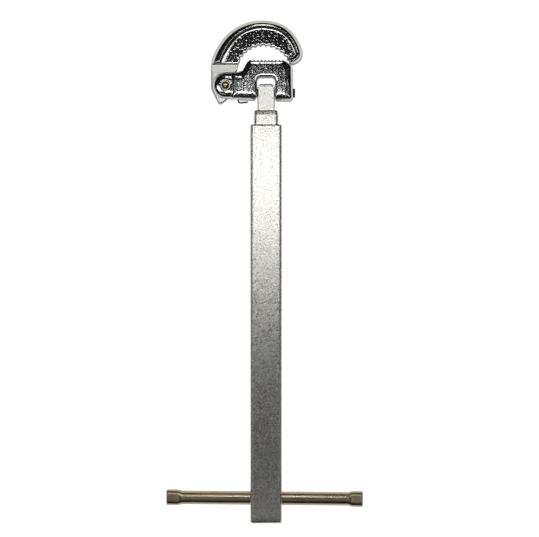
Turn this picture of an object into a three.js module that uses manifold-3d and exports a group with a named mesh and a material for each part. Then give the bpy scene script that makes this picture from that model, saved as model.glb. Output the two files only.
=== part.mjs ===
// Telescoping basin wrench, standing on the open end of its handle tube.
// Millimetres. +X is to the right, +Z runs up the shank, and -Y is the front.
import * as THREE from "three";
import Module from "manifold-3d";

const wasm = await Module();
wasm.setup();

// ---------- driving sizes ----------
const TUBE = 16; // handle tube across its flats
const TUBE_LENGTH = 201.4;
const TUBE_CORNER = 1.7; // outer corner radius of both tubes
const WALL = 1.5; // wall of both tubes
const SLIDE_FIT = 0.3; // clearance per side between telescoping members
const END_ROUND = 0.9; // rounding of the handle's cut ends
const MIDDLE_OUT = 7.2; // middle tube standing out of the handle, closed up
const TRAVEL = 89; // travel of each telescoping stage
const TBAR_GAP = 6.4; // from the cross bar up to the middle tube's lower end
const OVERLAP_GAP = 23; // from the middle tube's lower end up to the shank's

const TBAR_D = 6.9; // cross bar
const TBAR_LENGTH = 99.6;
const TBAR_HEIGHT = 12.1; // its axis above the handle's end
const TBAR_OFFSET = -0.75; // how far it has been slid to one side
const TBAR_FIT = 0.15; // radial clearance in the handle's holes
const FLAT_LEFT = 7.8; // length of each flattened end
const FLAT_RIGHT = 7.2;
const FLAT_HEIGHT = 8.0;
const FLAT_THICK = 5.6;

const SNAP_D = 4.0; // lock buttons
const SNAP_FIT = 0.2; // radial clearance of a button in its hole
const SNAP_RISE = 13; // first button above its member's lower end
const LEAF = 0.6; // snap spring strip
const LEAF_WIDTH = 3.6;

const HEAD_THICK = 14; // jaw base and hook, front to back
const PILLOW = 1.75; // depth of the rounded edge of the forgings
const LEG = 9.2; // clevis leg beside the shank
const LEG_DROP = 4.3; // leg below the head pivot
const SLOT_FIT = 0.15; // clearance per side between shank and clevis
const SLOT_RISE = 3.4; // clevis roof above the shank's end
const END_EASE = 1; // rounding of the shank's end, front and back
const FLIP_FIT = 1.4; // head to middle tube when the head is swung over
const HEAD_RISE = 16.6; // tips of the base's teeth above the head pivot
const PIVOT_D = 4.2; // head pivot pin
const PIVOT_HEAD_D = 4.7;
const PIVOT_HEAD = 0.9;
const PIN_FIT = 0.08; // running clearance of both pins
const PRESS_FIT = 0.04; // the same pins where they are held

const HOOK_PIN_D = 5;
const HOOK_PIN_OUT = 16.05; // hook pin beyond the clevis slot
const HOOK_PIN_RISE = 3.7; // hook pin above the head pivot
const EAR_R = 6.9;
const EAR_SHIFT = 0.3; // ear's round end, towards the shank from the hook pin
const EAR_STEP = 0.7; // ear face behind the base's face
const TONGUE = 6.8; // hook's thinner root, front to back
const TONGUE_FIT = 0.3; // clearance per side between the ears
const SHOULDER = 4.1; // underside of the hook's arm above the ear
const WEB = 9.4; // thickness of the hook's toothed web
const RIM_ROOT = 4.3; // width of the raised rim at root, crown and tip
const RIM_CROWN = 2.9;
const RIM_TIP = 2.6;
const EDGE = 2.6; // rounding of the hook's outer edge, seen from the front
const EDGE_DEPTH = 5; // and how far it reaches into the thickness
const EDGE_TRIM = 1.2; // forging cut away along the base's top and shoulders
const HOOK_REST = 0.3; // gap where the closed hook meets the base

const TOOTH_R = 13.55; // radius across the hook's tooth tips
const TOOTH_DEPTH = 0.95;
const TOOTH_COUNT = 12;
const BASE_TOOTH = 1.8; // pitch of the base's teeth
const BASE_TOOTH_DEPTH = 0.95;
const BASE_TEETH = 9;

const WIRE_D = 0.85; // torsion spring
const COIL_TURNS = 2;
const COIL_GAP = 0.03; // between its turns
const COIL_FIT = 0.285; // clearance per side in the tongue's slot

// ---------- sizes that follow from them ----------
const MIDDLE = TUBE - 2 * WALL - 2 * SLIDE_FIT;
const BAR = MIDDLE - 2 * WALL - 2 * SLIDE_FIT;
const HALF = HEAD_THICK / 2;
const SLOT = BAR / 2 + SLOT_FIT;
const MIDDLE_TOP = TUBE_LENGTH + MIDDLE_OUT;
const SWING = Math.hypot(LEG_DROP - PILLOW, HALF - PILLOW) + PILLOW;
const PIVOT_Z = MIDDLE_TOP + SWING + FLIP_FIT;
const MIDDLE_LOW = TBAR_HEIGHT + TBAR_D / 2 + TBAR_GAP;
const BAR_LOW = MIDDLE_LOW + OVERLAP_GAP;
const LEG_BOTTOM = PIVOT_Z - LEG_DROP;
const SLOT_TOP = PIVOT_Z + BAR / 2 + SLOT_RISE;
const BASE_TOP = PIVOT_Z + HEAD_RISE;
const RIGHT = SLOT + LEG;
const PIN_X = -SLOT - HOOK_PIN_OUT;
const PIN_Z = PIVOT_Z + HOOK_PIN_RISE;
const EAR_FACE = HALF - EAR_STEP;
const EAR_SLOT = TONGUE / 2 + TONGUE_FIT;
const EAR_TOP = PIN_Z + EAR_R;
const SHOULDER_Z = EAR_TOP + SHOULDER;
const TONGUE_BACK = HOOK_PIN_D / 2 + 3.7; // tongue behind its pin, towards the shank
const SLOT_WALL = PIN_X + TONGUE_BACK + 1.3; // closed end of the slot between the ears
const TONGUE_LEFT = PIN_X - 7.35;
const COIL_PITCH = WIRE_D + COIL_GAP;
const WIRE_SLOT = (COIL_TURNS + 0.25) * COIL_PITCH + WIRE_D + 2 * COIL_FIT;
const REST_X = RIGHT - 1.89; // where the closed hook's point meets the base's corner
const REST_Z = BASE_TOP - 2.38 + 1.3 * HOOK_REST;
const SPREAD = (REST_X - TONGUE_LEFT) / 39.85; // grows the hook with the span it bridges
const TBAR_TILT = Math.atan(TBAR_FIT / TUBE); // the bar droops by its own clearance
const LOCK_LOW = MIDDLE_LOW + SNAP_RISE;
const LOCK_HIGH = BAR_LOW + SNAP_RISE;

// ---------- finishes ----------
const finish = (color, metalness, roughness) =>
  new THREE.MeshStandardMaterial({ color, metalness, roughness });
const CHROME = finish(0xc4c6c8, 1, 0.22);
const SATIN = finish(0xc9c8c4, 1, 0.42);
const NICKEL = finish(0xb7aa96, 1, 0.4);
const SPRING = finish(0x4a4a4c, 1, 0.35);
const BLACKED = finish(0x2b2b2c, 1, 0.5);
const YELLOW = finish(0xb9a45a, 1, 0.35);

// ---------- solids ----------
// A manifold solid from a closed geometry.
function solid(geometry) {
  const plain = geometry.clone();
  plain.deleteAttribute("normal");
  plain.deleteAttribute("uv");
  const welded = weld(plain);
  return new wasm.Manifold(
    new wasm.Mesh({
      numProp: 3,
      vertProperties: welded.vertices,
      triVerts: welded.triangles,
    }),
  );
}

// Vertices that share a place become one, and slivers that close up are dropped.
function weld(geometry) {
  const position = geometry.getAttribute("position");
  const index = geometry.getIndex();
  const count = index ? index.count : position.count;
  const seen = new Map();
  const vertices = [];
  const corners = [];
  for (let i = 0; i < count; i++) {
    const v = index ? index.getX(i) : i;
    const p = [position.getX(v), position.getY(v), position.getZ(v)];
    const key = p.map((c) => Math.round(c * 1e4)).join();
    if (!seen.has(key)) {
      seen.set(key, vertices.length / 3);
      vertices.push(...p);
    }
    corners.push(seen.get(key));
  }
  const triangles = [];
  for (let i = 0; i < corners.length; i += 3) {
    const [a, b, c] = corners.slice(i, i + 3);
    if (a !== b && b !== c && c !== a) triangles.push(a, b, c);
  }
  return {
    vertices: Float32Array.from(vertices),
    triangles: Uint32Array.from(triangles),
  };
}

// A named mesh from a solid.
function piece(name, made, material) {
  const data = made.getMesh();
  const stride = data.numProp;
  const positions = [];
  for (let i = 0; i < data.vertProperties.length; i += stride)
    positions.push(...data.vertProperties.slice(i, i + 3));
  const geometry = new THREE.BufferGeometry();
  geometry.setAttribute("position", new THREE.Float32BufferAttribute(positions, 3));
  geometry.setIndex([...data.triVerts]);
  geometry.computeVertexNormals();
  const mesh = new THREE.Mesh(geometry, material);
  mesh.name = name;
  return mesh;
}

// A closed skin over rings of points that all have the same count, lowest first.
function skin(rings) {
  const n = rings[0].length;
  const positions = rings.flat(2);
  const index = [];
  for (let k = 0; k + 1 < rings.length; k++)
    for (let i = 0; i < n; i++) {
      const a = k * n + i;
      const b = k * n + ((i + 1) % n);
      index.push(a, b, b + n, a, b + n, a + n);
    }
  const last = (rings.length - 1) * n;
  for (const [a, b, c] of cap(rings[0])) index.push(c, b, a);
  for (const [a, b, c] of cap(rings.at(-1))) index.push(last + a, last + b, last + c);
  const geometry = new THREE.BufferGeometry();
  geometry.setAttribute("position", new THREE.Float32BufferAttribute(positions, 3));
  geometry.setIndex(index);
  return geometry;
}

// Triangles over one flat ring, seen from the side where it runs anticlockwise.
function cap(ring) {
  const normal = new THREE.Vector3();
  const p = ring.map((v) => new THREE.Vector3(...v));
  p.forEach((v, i) => normal.add(v.clone().cross(p[(i + 1) % p.length])));
  normal.normalize();
  const u = new THREE.Vector3(1, 0.013, 0.007).cross(normal);
  if (u.length() < 0.1) u.set(0, 1, 0.01).cross(normal);
  u.normalize();
  const v = normal.clone().cross(u);
  const flat = p.map((q) => new THREE.Vector2(q.dot(u), q.dot(v)));
  return THREE.ShapeUtils.triangulateShape(flat, []);
}

// Slices of an outline at given insets and heights: ringAt(inset) gives [u, v] points.
function layered(ringAt, levels) {
  return skin(levels.map(([inset, h]) => ringAt(inset).map(([u, v]) => [u, v, h])));
}

// Stands a slice stack drawn in (x, z) upright, with its height running to the front.
function upright(geometry) {
  return geometry.rotateX(Math.PI / 2);
}

// ---------- outlines ----------
// Polygon corners [u, v, radius], anticlockwise, moved in by an inset and rounded.
function cornered(corners, arcStep = 15) {
  const n = corners.length;
  const dirs = corners.map(([u, v], i) => {
    const [s, t] = corners[(i + 1) % n];
    const d = Math.hypot(s - u, t - v);
    return [(s - u) / d, (t - v) / d];
  });
  return (inset) =>
    corners.flatMap(([u, v, r], i) => {
      const a = dirs[(i + n - 1) % n];
      const b = dirs[i];
      const turn = Math.atan2(a[0] * b[1] - a[1] * b[0], a[0] * b[0] + a[1] * b[1]);
      const mitre = Math.tan(turn / 2);
      const x = u - inset * a[1] - inset * mitre * a[0];
      const y = v + inset * a[0] - inset * mitre * a[1];
      const radius = turn > 0 ? Math.max(r - inset, 0.03) : Math.max(r, 0.03);
      const reach = radius * Math.abs(mitre);
      const steps = Math.max(1, Math.ceil(Math.abs(turn) / THREE.MathUtils.degToRad(arcStep)));
      const side = Math.sign(turn);
      const start = Math.atan2(-a[0] * side, a[1] * side);
      const cx = x - reach * a[0] - radius * side * a[1];
      const cy = y - reach * a[1] + radius * side * a[0];
      return Array.from({ length: steps + 1 }, (_, k) => {
        const t = start + (turn * k) / steps;
        return [cx + radius * Math.cos(t), cy + radius * Math.sin(t)];
      });
    });
}

// Close-set points [u, v] moved in along their normals, each by its own weight.
function pointed(points, weights) {
  const n = points.length;
  const normals = points.map((p, i) => {
    const a = points[(i + n - 1) % n];
    const b = points[(i + 1) % n];
    const d = Math.hypot(b[0] - a[0], b[1] - a[1]);
    return [(a[1] - b[1]) / d, (b[0] - a[0]) / d];
  });
  return (inset) =>
    points.map(([u, v], i) => [
      u + inset * weights[i] * normals[i][0],
      v + inset * weights[i] * normals[i][1],
    ]);
}

// Points on a circle, ends included.
function arc(cx, cy, r, from, to, steps) {
  return Array.from({ length: steps + 1 }, (_, k) => {
    const t = THREE.MathUtils.degToRad(from + ((to - from) * k) / steps);
    return [cx + r * Math.cos(t), cy + r * Math.sin(t)];
  });
}

const square = (side, radius) =>
  cornered([
    [-side / 2, -side / 2, radius],
    [side / 2, -side / 2, radius],
    [side / 2, side / 2, radius],
    [-side / 2, side / 2, radius],
  ]);

const box = (x0, x1, y0, y1, z0, z1) =>
  solid(
    new THREE.BoxGeometry(x1 - x0, y1 - y0, z1 - z0).translate(
      (x0 + x1) / 2,
      (y0 + y1) / 2,
      (z0 + z1) / 2,
    ),
  );

// A round rod along Y or X, its two ends given.
const rodY = (x, z, r, y0, y1, sides = 48) =>
  solid(new THREE.CylinderGeometry(r, r, y1 - y0, sides).translate(x, (y0 + y1) / 2, z));
const rodX = (y, z, r, x0, x1, sides = 48) =>
  solid(
    new THREE.CylinderGeometry(r, r, x1 - x0, sides)
      .rotateZ(Math.PI / 2)
      .translate((x0 + x1) / 2, y, z),
  );

// ---------- tubes and shank ----------
// Square tube with rounded cut ends; levels give the outside's [inset, height].
function tube(side, z0, levels) {
  const outside = layered(square(side, TUBE_CORNER), levels);
  const z1 = levels.at(-1)[1];
  const inside = layered(square(side - 2 * WALL, TUBE_CORNER / 3), [
    [0, z0 - 1],
    [0, z1 + 1],
  ]);
  return solid(outside).subtract(solid(inside));
}

// Quarter-round end of a tube, from its flat end face to the full outline.
function roundedEnd(z, r, direction) {
  return [0, 30, 60, 90].map((deg) => {
    const t = THREE.MathUtils.degToRad(deg);
    return [r * (1 - Math.sin(t)), z + direction * r * (1 - Math.cos(t))];
  });
}

function outerTube() {
  const levels = [
    ...roundedEnd(0, END_ROUND, 1),
    ...roundedEnd(TUBE_LENGTH, END_ROUND, -1).reverse(),
  ];
  let made = tube(TUBE, 0, levels);
  made = made.subtract(
    rodX(0, TBAR_HEIGHT, TBAR_D / 2 + TBAR_FIT, -TUBE, TUBE),
  );
  for (const z of [LOCK_LOW, LOCK_LOW + TRAVEL])
    made = made.subtract(rodY(0, z, SNAP_D / 2 + SNAP_FIT, 0, TUBE, 32));
  return piece("outer_tube", made, SATIN);
}

function middleTube() {
  const levels = [
    [0.4, MIDDLE_LOW],
    [0, MIDDLE_LOW + 0.4],
    [0, MIDDLE_TOP - 2.6],
    [0.1, MIDDLE_TOP - 1.5],
    [0.28, MIDDLE_TOP - 0.6],
    [0.6, MIDDLE_TOP],
  ];
  let made = tube(MIDDLE, MIDDLE_LOW, levels);
  made = made.subtract(rodY(0, LOCK_LOW, SNAP_D / 2 + SNAP_FIT, 0, TUBE, 32));
  for (const z of [LOCK_HIGH, LOCK_HIGH + TRAVEL])
    made = made.subtract(rodY(0, z, SNAP_D / 2 + SNAP_FIT, 0, TUBE, 32));
  return piece("middle_tube", made, SATIN);
}

// Hairpin strip inside the middle tube; its button passes both tubes' rear walls.
function middleSnap() {
  const inside = MIDDLE / 2 - WALL - 0.2;
  const foot = MIDDLE_LOW + 1.2;
  const leg = SNAP_RISE + 4;
  const strip = cornered([
    [-inside, foot, LEAF * 2],
    [inside, foot, LEAF * 2],
    [inside, foot + leg, 0.1],
    [inside - LEAF, foot + leg, 0.1],
    [inside - LEAF, foot + LEAF, LEAF],
    [-inside + LEAF, foot + LEAF, LEAF],
    [-inside + LEAF, foot + leg, 0.1],
    [-inside, foot + leg, 0.1],
  ]);
  const body = solid(
    layered(strip, [
      [0, -LEAF_WIDTH / 2],
      [0, LEAF_WIDTH / 2],
    ])
      .rotateX(Math.PI / 2)
      .rotateZ(Math.PI / 2),
  );
  const button = snapButton(LOCK_LOW, inside - LEAF / 2, TUBE / 2 - 0.4);
  return piece("middle_tube_snap_spring", body.add(button), SPRING);
}

// Round button with a domed end, standing out to the rear.
function snapButton(z, from, to) {
  const r = SNAP_D / 2;
  const dome = 0.6;
  const profile = [
    [0, from],
    [r, from],
    [r, to - dome],
    [r * 0.8, to - dome * 0.35],
    [r * 0.45, to - dome * 0.07],
    [0, to],
  ];
  const points = profile.map(([u, v]) => new THREE.Vector2(u, v));
  return solid(new THREE.LatheGeometry(points, 28).translate(0, 0, z));
}

function innerBar() {
  const top = PIVOT_Z + BAR / 2;
  const prism = solid(
    layered(square(BAR, 0.7), [
      [0.4, BAR_LOW],
      [0, BAR_LOW + 0.4],
      [0, top],
    ]),
  );
  const rounded = (corner) =>
    cornered(
      [
        [-BAR / 2 - 0.01, BAR_LOW - 1, 0.01],
        [BAR / 2 + 0.01, BAR_LOW - 1, 0.01],
        [BAR / 2 + 0.01, top, corner],
        [-BAR / 2 - 0.01, top, corner],
      ],
      7.5,
    );
  const thick = [
    [0, -BAR],
    [0, BAR],
  ];
  const fromSide = upright(layered(rounded(END_EASE), thick)).rotateZ(Math.PI / 2);
  const fromFront = upright(layered(rounded(BAR / 4), thick));
  let made = prism.intersect(solid(fromSide)).intersect(solid(fromFront));
  made = made.subtract(rodX(0, PIVOT_Z, PIVOT_D / 2 + PIN_FIT, -BAR, BAR));
  made = made.subtract(leafPocket());
  return piece("inner_bar", made, SATIN);
}

// Pocket in the shank's rear face that holds the leaf spring.
function leafPocket() {
  const wide = LEAF_WIDTH / 2 + 0.25;
  const floor = BAR / 2 - 2.3;
  return box(-wide, wide, floor, BAR, LOCK_HIGH - 9, LOCK_HIGH + 9);
}

// Leaf in the shank's pocket, its button in the middle tube's rear wall.
function barSnap() {
  const low = LOCK_HIGH - 8.6;
  const high = LOCK_HIGH + 8.6;
  const back = BAR / 2 - 2.1;
  const leaf = box(-LEAF_WIDTH / 2, LEAF_WIDTH / 2, back, back + LEAF, low, high);
  const foot = box(-LEAF_WIDTH / 2, LEAF_WIDTH / 2, back, BAR / 2 - 0.3, low, low + 2);
  const to = MIDDLE / 2 - 0.15;
  const button = snapButton(LOCK_HIGH, back + LEAF / 2, to).intersect(
    box(-LEAF_WIDTH / 2, LEAF_WIDTH / 2, 0, TUBE, LOCK_HIGH - 4, LOCK_HIGH + 4),
  );
  return piece("bar_snap_spring", leaf.add(foot).add(button), SPRING);
}

// ---------- cross bar ----------
// Ring of the bar's section: flat 0 is round, 1 is pressed to the end's shape.
function barRing(x, flat, shrink, turn) {
  const r0 = TBAR_D / 2;
  const r = r0 + (FLAT_THICK / 2 - r0) * flat - shrink;
  const rise = (FLAT_HEIGHT / 2 - FLAT_THICK / 2) * flat;
  const n = 40;
  return Array.from({ length: n }, (_, i) => {
    const t = (2 * Math.PI * (i + 0.5)) / n;
    const y = r * Math.cos(t);
    const z = r * Math.sin(t) + Math.sign(Math.sin(t)) * rise;
    return [x, y * Math.cos(turn) - z * Math.sin(turn), y * Math.sin(turn) + z * Math.cos(turn)];
  });
}

// One flattened end: stations from the end face inwards, [distance, flat, shrink].
function flatEnd(length) {
  return [
    [0, 1, 0.5],
    [0.15, 1, 0.18],
    [0.5, 1, 0],
    [length - 2.4, 1, 0],
    [length - 1.5, 0.86, 0],
    [length - 0.7, 0.42, 0],
    [length, 0.06, 0],
    [length + 0.5, 0, 0],
  ];
}

function tBar() {
  const end = TBAR_LENGTH / 2;
  const left = flatEnd(FLAT_LEFT).map(([d, f, s]) => barRing(-end + d, f, s, 0.05));
  const right = flatEnd(FLAT_RIGHT)
    .map(([d, f, s]) => barRing(end - d, f, s, -0.07))
    .reverse();
  const bar = skin([...left, ...right]);
  bar.rotateY(TBAR_TILT);
  bar.translate(TBAR_OFFSET, 0, TBAR_HEIGHT);
  return piece("t_bar", solid(bar), NICKEL);
}

// ---------- jaw base ----------
// Pillowed edge of a forging of the given half thickness: [inset, height] levels.
function pillow(half) {
  const shape = [
    [2.15, 0],
    [1.6, 0.09],
    [1.2, 0.2],
    [0.885, 0.36],
    [0.63, 0.54],
    [0.37, 0.83],
    [0.2, 1.11],
    [0.07, 1.49],
    [0, 1.94],
  ].map(([inset, depth]) => [inset * PILLOW, depth * PILLOW]);
  const front = shape.map(([inset, depth]) => [inset, half - depth]);
  const rear = shape.map(([inset, depth]) => [inset, depth - half]);
  return [...rear, ...front.reverse()];
}

// Front outline of the forged base. Its top and shoulders are drawn further out by
// EDGE_TRIM, because the broach takes the forging's rounded edge away there.
function baseBody() {
  const left = PIN_X + 2.2;
  const forged = cornered([
    [0, LEG_BOTTOM + 0.15, 0],
    [RIGHT, LEG_BOTTOM, 1.9],
    [RIGHT - 0.25, BASE_TOP - 3.75 + EDGE_TRIM * 0.45, 1.6],
    [RIGHT - 4.75 + EDGE_TRIM * 0.4, BASE_TOP + EDGE_TRIM, 0.9],
    [-SLOT - 4.4 - EDGE_TRIM * 0.62, BASE_TOP + EDGE_TRIM, 3.4],
    [-SLOT - 7.6 - EDGE_TRIM * 1.15, EAR_TOP, 1.2],
    [left, EAR_TOP, 1.5],
    [left, LEG_BOTTOM + 0.9, 1.5],
  ]);
  const broached = cornered([
    [left - 3, LEG_BOTTOM - 3, 0],
    [RIGHT + 3, LEG_BOTTOM - 3, 0],
    [RIGHT + 3, BASE_TOP - 6.46, 0],
    [RIGHT - 4.75, BASE_TOP, 0.9],
    [-SLOT - 4.4, BASE_TOP, 3.4],
    [-SLOT - 7.5, EAR_TOP + 0.19, 1.2],
    [left - 3, EAR_TOP + 0.6, 0],
  ]);
  const through = [
    [0, -HEAD_THICK],
    [0, HEAD_THICK],
  ];
  return solid(upright(layered(forged, pillow(HALF)))).intersect(
    solid(upright(layered(broached, through))),
  );
}

function earBody() {
  const middle = PIN_X + EAR_SHIFT;
  const outline = cornered([
    [-SLOT - 1.4, PIN_Z - EAR_R, 1],
    [-SLOT - 1.4, EAR_TOP, 1],
    [middle - EAR_R, EAR_TOP, EAR_R - 0.02],
    [middle - EAR_R, PIN_Z - EAR_R, EAR_R - 0.02],
  ]);
  return solid(upright(layered(outline, pillow(EAR_FACE))));
}

// Clevis slot, flared where it meets the base's faces, with eased mouth corners.
function clevisSlot() {
  const outline = cornered([
    [-SLOT - 3.4, LEG_BOTTOM - 3, 0],
    [SLOT + 2.2, LEG_BOTTOM - 3, 0],
    [SLOT, LEG_BOTTOM + 1.4, 1],
    [SLOT, SLOT_TOP, 2],
    [-SLOT, SLOT_TOP, 2],
    [-SLOT, LEG_BOTTOM + 2.6, 2],
  ]);
  const r = 1.3;
  const flare = [0, 22.5, 45, 67.5, 90].map((deg) => {
    const t = THREE.MathUtils.degToRad(deg);
    return [-r * (1 - Math.sin(t)), HALF - r * (1 - Math.cos(t))];
  });
  const rear = flare.map(([inset, h]) => [inset, -h]);
  const levels = [[-r, -HALF - 1], ...rear, ...flare.reverse(), [-r, HALF + 1]];
  return solid(upright(layered(outline, levels)));
}

// One V groove across the base's gripping face.
function baseGroove(x) {
  const h = BASE_TOOTH_DEPTH;
  const w = BASE_TOOTH / 2;
  const outline = cornered([
    [x, BASE_TOP - h, 0.12],
    [x + w * 1.05, BASE_TOP + h * 0.05, 0],
    [x + w * 1.05, BASE_TOP + 1, 0],
    [x - w * 1.05, BASE_TOP + 1, 0],
    [x - w * 1.05, BASE_TOP + h * 0.05, 0],
  ], 30);
  return solid(
    upright(
      layered(outline, [
        [0, -HEAD_THICK],
        [0, HEAD_THICK],
      ]),
    ),
  );
}

function jawBase() {
  let made = baseBody().add(earBody());
  made = made.subtract(clevisSlot());
  const far = PIN_X - 2 * EAR_R;
  made = made.subtract(
    box(far, SLOT_WALL, -EAR_SLOT, EAR_SLOT, LEG_BOTTOM - 5, BASE_TOP + 5),
  );
  made = made.subtract(rodY(PIN_X, PIN_Z, HOOK_PIN_D / 2 + PRESS_FIT, -HEAD_THICK, HEAD_THICK));
  made = made.subtract(
    rodX(0, PIVOT_Z, PIVOT_D / 2 + PRESS_FIT, SLOT_WALL - 1, RIGHT + 2),
  );
  const first = -SLOT - 1.35 - BASE_TOOTH / 2;
  for (let i = 0; i <= BASE_TEETH; i++)
    made = made.subtract(baseGroove(first + i * BASE_TOOTH));
  return piece("jaw_base", made, CHROME);
}

function headPivotPin() {
  const shank = rodX(0, PIVOT_Z, PIVOT_D / 2, SLOT_WALL + 0.4, RIGHT + 0.2);
  const r = PIVOT_HEAD_D / 2;
  const profile = [
    [0, 0],
    [r, 0],
    [r, PIVOT_HEAD - 0.25],
    [r - 0.25, PIVOT_HEAD],
    [0, PIVOT_HEAD],
  ];
  const points = profile.map(([u, v]) => new THREE.Vector2(u, v));
  const head = new THREE.LatheGeometry(points, 40)
    .rotateZ(-Math.PI / 2)
    .translate(RIGHT + 0.05, 0, PIVOT_Z);
  return piece("head_pivot_pin", shank.add(solid(head)), BLACKED);
}

// ---------- hook jaw ----------
// A place on the hook, from the point where its tip rests, grown with the span.
const at = (x, z) => [REST_X + x * SPREAD, REST_Z + z * SPREAD];
const hookArc = (x, z, r, from, to, steps) =>
  arc(...at(x, z), r * SPREAD, from, to, steps);

// Outer edge of the hook, from the round tip over the crown to the root.
const HOOK_LINE = [
  [1.4, -0.5],
  [3.8, 0.35],
  [5.8, 2.1],
  [6.7, 4.4],
  [6.3, 7.2],
  [5.2, 10.2],
  [3.2, 13.8],
  [0.7, 16.8],
  [-3, 19.6],
  [-8.1, 21.4],
  [-13.8, 22],
  [-19.5, 21.4],
  [-26.4, 18.8],
  [-32.3, 14.2],
  [-36.8, 8],
  [-39.3, 2.2],
  [-40, -3],
];

function hookEdge() {
  const line = HOOK_LINE.map(([x, z]) => new THREE.Vector3(...at(x, z), 0));
  const curve = new THREE.CatmullRomCurve3(line, false, "centripetal");
  curve.arcLengthDivisions = 800;
  return curve.getSpacedPoints(84).map((p) => [p.x, p.y]);
}

// Full-thickness blank of the arm. Its inner side is left square for the teeth.
function armBlank() {
  const edge = hookEdge();
  const back = PIN_X + TONGUE_BACK;
  const low = Math.min(SHOULDER_Z - 3.2, edge.at(-1)[1] - 0.1);
  const points = [
    ...edge,
    [TONGUE_LEFT, low],
    [back - 0.35, low],
    [back + 0.45, SHOULDER_Z],
    ...hookArc(-13.09, -4.4, 12.4, 150, 20, 16),
    at(0, 0),
  ];
  const weights = points.map((_, i) => (i < edge.length ? Math.min(1, 0.3 + i / 4) : 0));
  const round = [0, 12, 25, 40, 56, 73, 90].map((deg) => {
    const t = THREE.MathUtils.degToRad(deg);
    return [EDGE * (1 - Math.sin(t)), HALF - EDGE_DEPTH * (1 - Math.cos(t))];
  });
  const rear = round.map(([inward, h]) => [inward, -h]);
  const levels = [...rear, ...round.reverse()];
  return solid(upright(layered(pointed(points, weights), levels)));
}

// An open run of points moved inwards, each by its own distance.
function moved(points, distances) {
  return points.map(([u, v], i) => {
    const a = points[Math.max(0, i - 1)];
    const b = points[Math.min(points.length - 1, i + 1)];
    const d = Math.hypot(b[0] - a[0], b[1] - a[1]);
    return [u + (distances[i] * (a[1] - b[1])) / d, v + (distances[i] * (b[0] - a[0])) / d];
  });
}

const eased = (t) => t * t * (3 - 2 * t);

// Coved recess inside the raised rim, open on the toothed side; it leaves half the web.
function rimPocket() {
  const edge = hookEdge().slice(1);
  const far = edge.length - 1;
  const rim = edge.map((_, i) => {
    const s = i / far;
    return s < 0.45
      ? RIM_TIP + (RIM_CROWN - RIM_TIP) * eased(s / 0.45)
      : RIM_CROWN + (RIM_ROOT - RIM_CROWN) * eased((s - 0.45) / 0.55);
  });
  const reach = edge.map((_, i) => 0.35 + 0.25 * eased(Math.min(1, i / far / 0.2)));
  const ramp = edge.map((_, i) => eased(Math.min(1, Math.max(0, (i / far - 0.62) / 0.36))));
  const ringAt = ([steep, gentle]) => [
    ...moved(edge, rim.map((w, i) => w + steep * reach[i] + (gentle - steep * reach[i]) * ramp[i])),
    ...hookArc(-13.09, -4.4, 10, 200, 30, 12),
  ];
  const depth = HALF - WEB / 2;
  const cove = [
    [-0.35, -0.35, -0.6],
    [0, 0, 0],
    [0.12, 0.03, 0.1],
    [0.42, 0.09, 0.24],
    [0.75, 0.2, 0.47],
    [1.05, 0.5, 0.7],
    [1.45, 1.6, 0.87],
    [1.95, 2.5, 0.97],
    [2.5, 3.1, 1],
  ];
  const front = cove
    .map(([steep, gentle, down]) => [[steep, gentle], HALF - depth * down])
    .reverse();
  const rear = front.map(([inward, h]) => [inward, -h]).reverse();
  return {
    front: solid(upright(layered(ringAt, front))),
    rear: solid(upright(layered(ringAt, rear))),
  };
}

// Everything in front of the tongue, up to the arm's eased underside.
function shoulderCut() {
  const low = SHOULDER_Z - 30;
  const outline = cornered([
    [TONGUE / 2, low, 0],
    [HALF + 3, low, 0],
    [HALF + 3, SHOULDER_Z + 0.8, 0],
    [HALF, SHOULDER_Z + 0.8, 0],
    [HALF - 0.8, SHOULDER_Z, 0.6],
    [TONGUE / 2, SHOULDER_Z, 0.9],
  ]);
  const left = TONGUE_LEFT - 5;
  const right = PIN_X + TONGUE_BACK + 3;
  const along = (from, to, turn) =>
    solid(
      upright(
        layered(outline, [
          [0, from],
          [0, to],
        ]),
      ).rotateZ(turn),
    );
  return {
    front: along(-right, -left, -Math.PI / 2),
    rear: along(left, right, Math.PI / 2),
  };
}

// The thinner root that turns between the ears, with the chin that stops the hook.
function tongue() {
  const top = SHOULDER_Z + 3 - PIN_Z;
  const left = TONGUE_LEFT - PIN_X;
  const round = [-62, -45, -28, -11, 6].map((deg) => {
    const t = THREE.MathUtils.degToRad(deg);
    return [TONGUE_BACK * Math.cos(t), TONGUE_BACK * Math.sin(t), 1];
  });
  const corners = [
    [left + 1.8, top, 0],
    [left, top - 4.2, 2],
    [left, -1.6, 4],
    [left + 3.75, -9.35, 1.3],
    [left + 5.45, -9.35, 1.3],
    ...round,
    [TONGUE_BACK - 0.55, 7.3, 1.5],
    [TONGUE_BACK + 0.45, top - 3.6, 1.5],
    [TONGUE_BACK + 0.45, top, 0],
  ].map(([x, z, r]) => [PIN_X + x, PIN_Z + z, r]);
  const r = 1;
  const half = TONGUE / 2;
  const front = [
    [0, half - r],
    [r * 0.134, half - r * 0.5],
    [r * 0.5, half - r * 0.134],
    [r, half],
  ];
  const levels = [...front.map(([inset, y]) => [inset, -y]).reverse(), ...front];
  return solid(upright(layered(cornered(corners), levels)));
}

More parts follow.
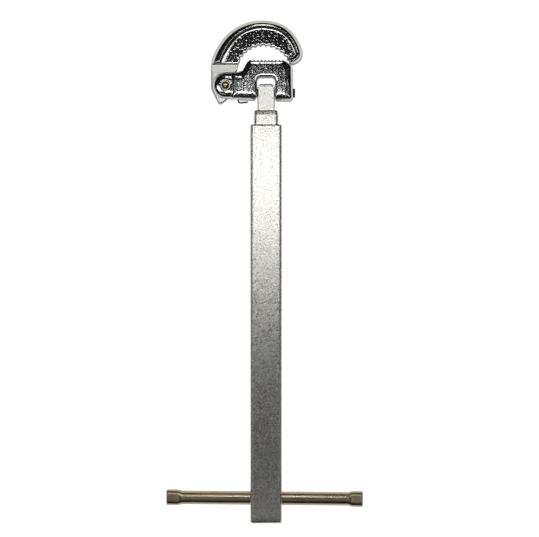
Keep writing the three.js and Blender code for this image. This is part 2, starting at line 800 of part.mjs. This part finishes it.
// Disc with saw-like notches that cuts the hook's gripping arc.
function toothedDisc() {
  const r = TOOTH_R * SPREAD;
  const pitch = 133.2 / TOOTH_COUNT;
  const first = 19.2;
  const points = [];
  for (let i = 0; i < TOOTH_COUNT; i++) {
    const tip = first + i * pitch;
    points.push([r, tip - 0.9], [r, tip + 0.9], [r + TOOTH_DEPTH, tip + pitch * 0.34]);
    points.push([r + TOOTH_DEPTH * 0.55, tip + pitch * 0.6]);
  }
  points.push([r, first + TOOTH_COUNT * pitch - 0.9]);
  for (let deg = 170; deg < 375; deg += 12) points.push([r, deg]);
  const flat = points.map(([radius, deg]) => {
    const t = THREE.MathUtils.degToRad(deg);
    const [x, z] = at(-13.09, -4.4);
    return [x + radius * Math.cos(t), z + radius * Math.sin(t)];
  });
  const disc = solid(
    upright(
      layered(() => flat, [
        [0, -HEAD_THICK],
        [0, HEAD_THICK],
      ]),
    ),
  );
  const side = 3 * TOOTH_R;
  return disc.intersect(
    box(-side, side, -HEAD_THICK, HEAD_THICK, SHOULDER_Z - 3, BASE_TOP + side),
  );
}

function hookJaw() {
  const pocket = rimPocket();
  const shoulder = shoulderCut();
  let made = armBlank();
  for (const cut of [pocket.front, pocket.rear, shoulder.front, shoulder.rear])
    made = made.subtract(cut);
  made = made.add(tongue()).subtract(toothedDisc());
  made = made.subtract(
    rodY(PIN_X, PIN_Z, HOOK_PIN_D / 2 + PIN_FIT, -HEAD_THICK, HEAD_THICK),
  );
  const half = WIRE_SLOT / 2;
  const far = PIN_X + TONGUE_BACK + 1;
  made = made.subtract(
    box(TONGUE_LEFT - 1, far, -half, half, PIN_Z - 12, PIN_Z + HOOK_PIN_D / 2 + WIRE_D + 0.95),
  );
  return piece("hook_jaw", made, CHROME);
}

// Pin with a dished centre in both ends.
function hookPin() {
  const r = HOOK_PIN_D / 2;
  const end = EAR_FACE + 0.05;
  const dish = [
    [0, 0.85],
    [0.8, 0.76],
    [1.4, 0.5],
    [1.8, 0.16],
    [2.0, 0],
    [r - 0.15, 0],
    [r, 0.15],
  ];
  const low = dish.map(([u, d]) => new THREE.Vector2(u, d - end));
  const high = dish.map(([u, d]) => new THREE.Vector2(u, end - d)).reverse();
  const pin = new THREE.LatheGeometry([...low, ...high], 48);
  pin.translate(PIN_X, 0, PIN_Z);
  return piece("hook_pin", solid(pin), YELLOW);
}

// Wire round the hook pin: one leg under the hook's fork roof, one under the base.
function torsionSpring() {
  const coil = HOOK_PIN_D / 2 + 0.35 + WIRE_D / 2;
  const leave = 22;
  const turn = COIL_TURNS * 360 + 90 - leave;
  const wide = (turn / 360) * COIL_PITCH;
  const path = [
    [PIN_X - 6.1, -wide / 2, PIN_Z + coil + 0.35],
    [PIN_X - 5.3, -wide / 2, PIN_Z + coil + 0.2],
    [PIN_X - 3, -wide / 2, PIN_Z + coil],
    [PIN_X - 1.2, -wide / 2, PIN_Z + coil],
  ];
  for (let deg = 0; deg <= turn; deg += 15) {
    const t = THREE.MathUtils.degToRad(90 - deg);
    path.push([
      PIN_X + coil * Math.cos(t),
      wide * (deg / turn - 0.5),
      PIN_Z + coil * Math.sin(t),
    ]);
  }
  const y = wide / 2;
  const bendX = SLOT_WALL - 0.95;
  const low = Math.min(LEG_BOTTOM, PIN_Z - EAR_R) - 0.52;
  path.push(
    [PIN_X + 4.1, y, PIN_Z + coil * 0.1],
    [bendX - 0.35, y, LEG_BOTTOM + 3],
    [bendX - 0.1, y, LEG_BOTTOM + 1],
    [bendX, y, low + 0.6],
    [bendX + 0.35, y, low + 0.1],
    [bendX + 0.95, y, low - 0.05],
    [bendX + 3, y, low + 0.1],
    [bendX + 4.8, y, low + 0.28],
  );
  return piece("jaw_torsion_spring", wire(path, WIRE_D / 2), SPRING);
}

// Round wire along a list of places.
function wire(places, r) {
  const curve = new THREE.CatmullRomCurve3(places.map((p) => new THREE.Vector3(...p)));
  const n = places.length * 2;
  const frames = curve.computeFrenetFrames(n, false);
  const rings = [];
  for (let k = 0; k <= n; k++) {
    const centre = curve.getPointAt(k / n);
    const ring = [];
    for (let i = 0; i < 10; i++) {
      const t = (2 * Math.PI * i) / 10;
      const p = centre
        .clone()
        .addScaledVector(frames.normals[k], r * Math.cos(t))
        .addScaledVector(frames.binormals[k], r * Math.sin(t));
      ring.push([p.x, p.y, p.z]);
    }
    rings.push(ring);
  }
  return solid(skin(rings));
}

// ---------- assembly ----------
const wrench = new THREE.Group();
wrench.name = "basin_wrench";
wrench.add(outerTube(), tBar());
wrench.add(middleTube(), middleSnap());
wrench.add(innerBar(), barSnap());
wrench.add(jawBase(), headPivotPin());
wrench.add(hookJaw(), hookPin(), torsionSpring());

export default wrench;
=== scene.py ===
import math

import bmesh
import bpy
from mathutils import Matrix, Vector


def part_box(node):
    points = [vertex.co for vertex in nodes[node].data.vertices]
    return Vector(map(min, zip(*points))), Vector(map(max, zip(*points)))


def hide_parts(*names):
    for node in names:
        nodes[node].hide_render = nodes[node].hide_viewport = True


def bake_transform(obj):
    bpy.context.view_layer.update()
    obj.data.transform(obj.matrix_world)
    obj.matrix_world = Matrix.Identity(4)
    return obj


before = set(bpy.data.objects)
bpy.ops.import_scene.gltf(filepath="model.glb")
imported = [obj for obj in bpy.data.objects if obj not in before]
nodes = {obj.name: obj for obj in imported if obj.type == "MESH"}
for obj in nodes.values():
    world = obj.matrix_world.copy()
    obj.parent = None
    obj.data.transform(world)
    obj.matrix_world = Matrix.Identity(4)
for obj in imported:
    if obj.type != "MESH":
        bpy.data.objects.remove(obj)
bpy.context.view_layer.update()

# ---------------------------------------------------------------- camera
# The wrench is looked at square on, from far enough back that its two ends
# and its front and rear faces show at nearly the same size.
view_width = 0.2722
camera_back = 1.6
camera_data = bpy.data.cameras.new("studio_camera")
camera_data.sensor_width = 36
camera_data.lens = 36 * camera_back / view_width
camera_data.clip_start = 0.01
camera_data.clip_end = 100
camera = bpy.data.objects.new("studio_camera", camera_data)
camera.location = (0.00172, -0.0075 - camera_back, 0.1286)
camera.rotation_euler = (math.radians(90), 0, 0)
bpy.context.scene.collection.objects.link(camera)
bpy.context.scene.camera = camera
bpy.context.scene.view_settings.view_transform = "Standard"


# ---------------------------------------------------------------- studio
# A white opal floor, lit a little from below, in a room that is white behind the
# wrench and dark in front of it. Polished faces that look forwards turn black,
# and only the edges that turn away pick up the white.
def linear(code):
    """sRGB hex code to linear RGBA."""
    channels = [int(code[i : i + 2], 16) / 255 for i in (1, 3, 5)]
    curve = [c / 12.92 if c <= 0.04045 else ((c + 0.055) / 1.055) ** 2.4 for c in channels]
    return (*curve, 1.0)


def add(tree, kind, settings=None, **sockets):
    """Adds a node; a socket takes a value, or a (node, output) pair to link.

    Socket keywords are names with _ for a space, or n0, n1... for an index.
    """
    made = tree.nodes.new("ShaderNode" + kind)
    for name, value in (settings or {}).items():
        setattr(made, name, value)
    for name, value in sockets.items():
        key = int(name[1:]) if name[1:].isdigit() else name.replace("_", " ")
        if isinstance(value, tuple) and isinstance(value[0], bpy.types.Node):
            tree.links.new(value[0].outputs[value[1]], made.inputs[key])
        else:
            made.inputs[key].default_value = value
    return made


def material(name):
    """An empty node material and its tree."""
    made = bpy.data.materials.new(name)
    made.use_nodes = True
    made.node_tree.nodes.clear()
    return made, made.node_tree


floor_paint, tree = material("white_opal_floor")
opal = add(tree, "BsdfDiffuse", Color=linear("#F4F4F2"))
glow = add(tree, "Emission", Color=linear("#FFFFFF"), Strength=0.7)
lit = add(tree, "AddShader", n0=(opal, 0), n1=(glow, 0))
add(tree, "OutputMaterial", Surface=(lit, 0))
reach = 40
corners = [(-reach, -reach, 0), (reach, -reach, 0), (reach, reach, 0), (-reach, reach, 0)]
floor_mesh = bpy.data.meshes.new("floor")
floor_mesh.from_pydata(corners, [], [(0, 1, 2, 3)])
floor_mesh.materials.append(floor_paint)
floor = bpy.data.objects.new("floor", floor_mesh)
floor.visible_glossy = False
bpy.context.scene.collection.objects.link(floor)

world = bpy.data.worlds.new("studio_room")
bpy.context.scene.world = world
world.use_nodes = True
room = world.node_tree
room.nodes.clear()
soft = {"interpolation_type": "SMOOTHSTEP"}
place = add(room, "TexCoord")
split = add(room, "SeparateXYZ", Vector=(place, "Generated"))
# White begins just past the side walls, and a grey curtain hangs straight behind.
rear = add(
    room,
    "MapRange",
    soft,
    Value=(split, "Y"),
    From_Min=-0.08,
    From_Max=0.14,
    To_Min=0.01,
    To_Max=1.0,
)
curtain = add(
    room,
    "MapRange",
    soft,
    Value=(split, "Y"),
    From_Min=0.7,
    From_Max=0.95,
    To_Min=1.0,
    To_Max=0.35,
)
level = add(room, "Math", {"operation": "MULTIPLY"}, n0=(rear, 0), n1=(curtain, 0))
# The walls turn a little yellow towards the ceiling.
height = add(room, "MapRange", Value=(split, "Z"), From_Min=0.05, From_Max=0.7)
warmth = add(
    room, "Mix", {"data_type": "RGBA"}, n0=(height, 0), n6=linear("#FFFFFF"), n7=linear("#FBF8E2")
)
walls = add(room, "Background", Color=(warmth, 2), Strength=(level, 0))
white = add(room, "Background", Color=linear("#FFFFFF"), Strength=1.0)
seen = add(room, "LightPath")
either = add(room, "MixShader", n0=(seen, "Is Camera Ray"), n1=(walls, 0), n2=(white, 0))
add(room, "OutputWorld", Surface=(either, 0))


def soft_box(name, place, turn, size, power):
    """A rectangular soft box that the camera doesn't see: metres, degrees and watts."""
    data = bpy.data.lights.new(name, "AREA")
    data.shape = "RECTANGLE"
    data.size, data.size_y = size
    data.energy = power
    lamp = bpy.data.objects.new(name, data)
    lamp.location = place
    lamp.rotation_euler = [math.radians(angle) for angle in turn]
    lamp.visible_camera = False
    bpy.context.scene.collection.objects.link(lamp)


# The key strip hangs level with the upper handle, so that the satin fades towards the
# floor, and ends below the head, so that the chrome's flats stay black.
soft_box("key_strip", (0, -0.27, 0.1885), (90, 0, 0), (0.06, 0.071), 0.086)
# The top box draws the streak along the crown of the hook's rim.
soft_box("top_box", (0, -0.27, 0.378), (65, 0, 0), (0.062, 0.066), 0.04)
# The side boxes light the faces that turn a little to the left or right.
soft_box("left_box", (-0.135, -0.27, 0.1815), (90, 0, -26.6), (0.13, 0.083), 0.1)
soft_box("right_box", (0.135, -0.27, 0.1815), (90, 0, 26.6), (0.13, 0.083), 0.062)
# The fills and the floor's bounce keep the handle's lower end grey.
soft_box("left_fill", (-0.12, -0.27, 0.02), (90, 0, -24), (0.14, 0.1), 0.022)
soft_box("right_fill", (0.12, -0.27, 0.02), (90, 0, 24), (0.14, 0.1), 0.022)
soft_box("floor_bounce", (0, -0.058, 0.0005), (180, 0, 0), (0.13, 0.085), 0.006)


# ---------------------------------------------------------------- telescoping stem
# The handle and the middle member are drawn square steel tube, and the shank is
# a solid square bar. All three are blasted and plated with satin nickel.
def settle(name, edge_mm=0.0, true_flats=True):
    """Joins a CAD node's facets, smooths its shading and eases its sharp edges.

    With true_flats a large flat face is shaded flat right up to its rounded edges.
    """
    obj = nodes[name]
    mesh = obj.data
    if mesh.has_custom_normals:
        mesh.attributes.remove(mesh.attributes["custom_normal"])
    mesh.polygons.foreach_set("use_smooth", [True] * len(mesh.polygons))
    weld = obj.modifiers.new("weld", "WELD")
    weld.merge_threshold = 1e-6
    if edge_mm:
        bevel = obj.modifiers.new("eased_edges", "BEVEL")
        bevel.width = edge_mm / 1000
        bevel.segments = 2
        bevel.limit_method = "ANGLE"
        bevel.angle_limit = math.radians(32)
    if true_flats:
        flats = obj.modifiers.new("true_flats", "WEIGHTED_NORMAL")
        flats.mode = "FACE_AREA"
        flats.weight = 90
    return obj


def dress(name, paint):
    """Gives a CAD node its finish."""
    mesh = nodes[name].data
    mesh.materials.clear()
    mesh.materials.append(paint)


def blasted(tree, grain_mm, depth_mm):
    """Fine grain as a bump: the object's coordinates, the grain's noise and the bump.

    The real grain of these finishes is 0.1 mm or less, so it is drawn coarser to show.
    """
    place = add(tree, "TexCoord")
    grain = add(
        tree,
        "TexNoise",
        Vector=(place, "Object"),
        Scale=1000 / grain_mm,
        Detail=3.0,
        Roughness=0.6,
    )
    bump = add(tree, "Bump", Height=(grain, 0), Strength=1.0, Distance=depth_mm / 1000)
    return place, grain, bump


def satin(name, dark, light, roughness):
    """Satin nickel plate over a blasted surface, between two tones."""
    made, tree = material(name)
    place, grain, bump = blasted(tree, 0.7, 0.12)
    # Sockets 7 to 10 are the vector's From Min, From Max, To Min and To Max.
    tone = add(
        tree,
        "MapRange",
        {"data_type": "FLOAT_VECTOR"},
        Vector=(grain, 0),
        n7=(0.38, 0.38, 0.38),
        n8=(0.62, 0.62, 0.62),
        n9=linear(dark)[:3],
        n10=linear(light)[:3],
    )
    rough = add(
        tree,
        "MapRange",
        Value=(grain, 0),
        From_Min=0.3,
        From_Max=0.7,
        To_Min=roughness - 0.05,
        To_Max=roughness + 0.05,
    )
    skin = add(
        tree,
        "BsdfPrincipled",
        Base_Color=(tone, 1),
        Metallic=1.0,
        Roughness=(rough, 0),
        Normal=(bump, 0),
    )
    add(tree, "OutputMaterial", Surface=(skin, 0))
    return made


# Satin nickel: a soft, slightly sparkling grain that glows where light falls on it. The
# bar is blasted harder than the tubes, so it is rougher and shows less of the dark room;
# its paler tones are painted light, a lighter copy of the tubes' satin that stands in for
# light the soft boxes don't throw on the bar.
tube_satin = satin("satin_nickel_on_tube", "#BEBCB7", "#DEDCD6", 0.28)
# Painted light: the bar's two tones are paler than the tubes' to brighten it.
bar_satin_painted_lighter = satin("satin_nickel_on_bar_painted_lighter", "#E2E0DA", "#F6F4EE", 0.38)
for name, paint in (
    ("outer_tube", tube_satin),
    ("middle_tube", tube_satin),
    ("inner_bar", bar_satin_painted_lighter),
):
    settle(name, 0.12)
    dress(name, paint)


# ---------------------------------------------------------------- cross bar
# The T-bar is a turned steel rod in warm nickel, its two ends pressed flat so
# that it can't slide out of the handle.
# Warm nickel: a brownish shine with stains from handling, each about 6 mm across, where
# the plating is darker and duller.
warm_nickel, tree = material("warm_nickel_rod")
place, grain, bump = blasted(tree, 0.8, 0.015)
stain = add(tree, "TexNoise", Vector=(place, "Object"), Scale=1 / 0.006, Detail=4.0)
tone = add(
    tree, "Mix", {"data_type": "RGBA"}, n0=(stain, 0), n6=linear("#A5957C"), n7=linear("#CBBDA8")
)
rough = add(
    tree,
    "MapRange",
    Value=(stain, 0),
    From_Min=0.3,
    From_Max=0.7,
    To_Min=0.24,
    To_Max=0.36,
)
skin = add(
    tree,
    "BsdfPrincipled",
    Base_Color=(tone, 2),
    Metallic=1.0,
    Roughness=(rough, 0),
    Normal=(bump, 0),
)
add(tree, "OutputMaterial", Surface=(skin, 0))
settle("t_bar", 0.1)
dress("t_bar", warm_nickel)


# ---------------------------------------------------------------- springs and pins
# Snap springs, torsion spring and the head's pivot are bought-in steel parts. The
# springs are blued wire and strip, and the pivot pin is black oxide.
# Blued spring steel: dark, with a thin oily shine.
blued, tree = material("blued_spring_steel")
place, grain, bump = blasted(tree, 0.5, 0.01)
tone = add(
    tree, "Mix", {"data_type": "RGBA"}, n0=(grain, 0), n6=linear("#2C2C2E"), n7=linear("#5A5A5C")
)
skin = add(
    tree, "BsdfPrincipled", Base_Color=(tone, 2), Metallic=1.0, Roughness=0.34, Normal=(bump, 0)
)
add(tree, "OutputMaterial", Surface=(skin, 0))
for name in ("middle_tube_snap_spring", "bar_snap_spring"):
    settle(name)
    dress(name, blued)

# The torsion spring's wire is welded into one smooth copy, in one pose, that stands in for
# the CAD node. On the wrench it winds up as the hook opens: its lower leg stays with the
# base, its upper leg turns with the hook, and the coil twists between one leg and the other.
wire = bmesh.new()
wire.from_mesh(nodes["jaw_torsion_spring"].data)
bmesh.ops.remove_doubles(wire, verts=wire.verts, dist=1e-6)
for face in wire.faces:
    face.smooth = True
wire_mesh = bpy.data.meshes.new("torsion_spring_wire")
wire.to_mesh(wire_mesh)
wire.free()
if wire_mesh.has_custom_normals:
    wire_mesh.attributes.remove(wire_mesh.attributes["custom_normal"])
wire_mesh.materials.clear()
wire_mesh.materials.append(blued)
spring = bpy.data.objects.new("torsion_spring_wire", wire_mesh)
bpy.context.scene.collection.objects.link(spring)
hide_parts("jaw_torsion_spring")
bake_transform(spring)

# Black oxide: nearly matt black with a trace of grain.
oxide, tree = material("black_oxide_pin")
place, grain, bump = blasted(tree, 0.4, 0.01)
tone = add(
    tree, "Mix", {"data_type": "RGBA"}, n0=(grain, 0), n6=linear("#141415"), n7=linear("#2C2C2D")
)
skin = add(
    tree, "BsdfPrincipled", Base_Color=(tone, 2), Metallic=1.0, Roughness=0.42, Normal=(bump, 0)
)
add(tree, "OutputMaterial", Surface=(skin, 0))
settle("head_pivot_pin", 0.08)
dress("head_pivot_pin", oxide)

# Hook pin: a bright ring where its rim was headed over, a yellow zinc dish inside it
# and a line of painted shade, dark, in the gap where it meets the ear.
pin, tree = material("yellow_zinc_pin")
place, grain, bump = blasted(tree, 0.5, 0.012)
pin_low, pin_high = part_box("hook_pin")
centre = (pin_low + pin_high) / 2
axis = add(
    tree, "VectorMath", {"operation": "SUBTRACT"}, n0=(place, "Object"), n1=(centre.x, 0, centre.z)
)
flat = add(tree, "VectorMath", {"operation": "MULTIPLY"}, n0=(axis, 0), n1=(1, 0, 1))
out = add(tree, "VectorMath", {"operation": "LENGTH"}, n0=(flat, 0))
# The dish is 1.8 mm in radius, and the painted shade lies outside 2.4 mm.
ring = add(tree, "MapRange", Value=(out, 1), From_Min=0.00175, From_Max=0.0019)
gap_shade_mask = add(tree, "MapRange", Value=(out, 1), From_Min=0.00236, From_Max=0.00244)
zinc = add(
    tree, "Mix", {"data_type": "RGBA"}, n0=(grain, 0), n6=linear("#8F8438"), n7=linear("#E0D070")
)
steel = add(tree, "Mix", {"data_type": "RGBA"}, n0=(ring, 0), n6=(zinc, 2), n7=linear("#F2F2EE"))
# Painted shade: the pin's colour turns dark outside 2.4 mm, where it meets the ear.
gap_shaded = add(tree, "Mix", {"data_type": "RGBA"}, n0=(gap_shade_mask, 0), n6=(steel, 2), n7=linear("#1A1A1A"))
rough = add(tree, "MapRange", Value=(ring, 0), To_Min=0.26, To_Max=0.5)
skin = add(
    tree,
    "BsdfPrincipled",
    Base_Color=(gap_shaded, 2),
    Metallic=1.0,
    Roughness=(rough, 0),
    Normal=(bump, 0),
)
add(tree, "OutputMaterial", Surface=(skin, 0))
settle("hook_pin", 0.05)
dress("hook_pin", pin)


# ---------------------------------------------------------------- jaw base and hook
# Both jaws are drop forgings with well rounded edges, broached or sawn teeth, and
# bright chrome over the scale-pitted skin of the forging.
def forge(name):
    """Rounds a forging's facets and edges into each other."""
    voxel_mm = 0.25
    obj = settle(name, true_flats=False)
    remesh = obj.modifiers.new("skin", "REMESH")
    remesh.mode = "VOXEL"
    remesh.voxel_size = voxel_mm / 1000
    remesh.use_smooth_shade = True
    smooth = obj.modifiers.new("eased", "SMOOTH")
    smooth.factor = 0.5
    smooth.iterations = 2


# Chrome on the base: mirror bright and mostly flat, broken by upright ridges 1.5 mm apart
# where the metal flowed in the die, and by pits of 0.8 mm between them.
base_chrome, tree = material("chrome_on_ridged_forging")
place = add(tree, "TexCoord")
tall = add(tree, "Mapping", Vector=(place, "Object"), Scale=(1, 1, 0.16))
flow = add(tree, "TexNoise", Vector=(tall, 0), Scale=1 / 0.0015, Detail=1.5)
ridge = add(tree, "MapRange", soft, Value=(flow, 0), From_Min=0.46, From_Max=0.66)
spots = add(tree, "TexNoise", Vector=(place, "Object"), Scale=1 / 0.0008, Detail=2.0)
pit = add(tree, "MapRange", soft, Value=(spots, 0), From_Min=0.52, From_Max=0.72)
both = add(tree, "Math", {"operation": "MULTIPLY_ADD"}, n0=(ridge, 0), n1=5.0, n2=(pit, 0))
bump = add(tree, "Bump", Height=(both, 0), Strength=1.0, Distance=0.000009)
skin = add(
    tree,
    "BsdfPrincipled",
    Base_Color=linear("#C6C7C8"),
    Metallic=1.0,
    Roughness=0.12,
    Normal=(bump, 0),
)
add(tree, "OutputMaterial", Surface=(skin, 0))

# Chrome on the hook: pits of 1 mm on the sunken web, a smooth raised rim, and a blasted,
# pale satin face on the thinner tongue, inside bright edges.
hook_chrome, tree = material("chrome_on_pitted_forging")
place = add(tree, "TexCoord")
split = add(tree, "SeparateXYZ", Vector=(place, "Object"))
depth = add(tree, "Math", {"operation": "ABSOLUTE"}, n0=(split, "Y"))
# The web lies 4.7 mm from the middle plane and the tongue's face 3.4 mm, under the arm.
web = add(tree, "MapRange", soft, Value=(depth, 0), From_Min=0.0054, From_Max=0.0049)
spots = add(tree, "TexNoise", Vector=(place, "Object"), Scale=1 / 0.001, Detail=2.0)
pit = add(tree, "MapRange", soft, Value=(spots, 0), From_Min=0.52, From_Max=0.74)
bump = add(tree, "Bump", Height=(pit, 0), Strength=(web, 0), Distance=0.00003)
thin = add(tree, "MapRange", Value=(depth, 0), From_Min=0.0037, From_Max=0.0036)
face = add(tree, "MapRange", soft, Value=(depth, 0), From_Min=0.00324, From_Max=0.00334)
under = add(tree, "MapRange", Value=(split, "Z"), From_Min=0.232, From_Max=0.2317)
blast = add(tree, "Math", {"operation": "MULTIPLY"}, n0=(thin, 0), n1=(face, 0))
tongue = add(tree, "Math", {"operation": "MULTIPLY"}, n0=(blast, 0), n1=(under, 0))
rough = add(tree, "MapRange", Value=(tongue, 0), To_Min=0.1, To_Max=0.46)
tone = add(
    tree, "Mix", {"data_type": "RGBA"}, n0=(tongue, 0), n6=linear("#C6C7C8"), n7=linear("#ECEAE4")
)
skin = add(
    tree,
    "BsdfPrincipled",
    Base_Color=(tone, 2),
    Metallic=1.0,
    Roughness=(rough, 0),
    Normal=(bump, 0),
)
add(tree, "OutputMaterial", Surface=(skin, 0))

for name, paint in (("jaw_base", base_chrome), ("hook_jaw", hook_chrome)):
    forge(name)
    dress(name, paint)
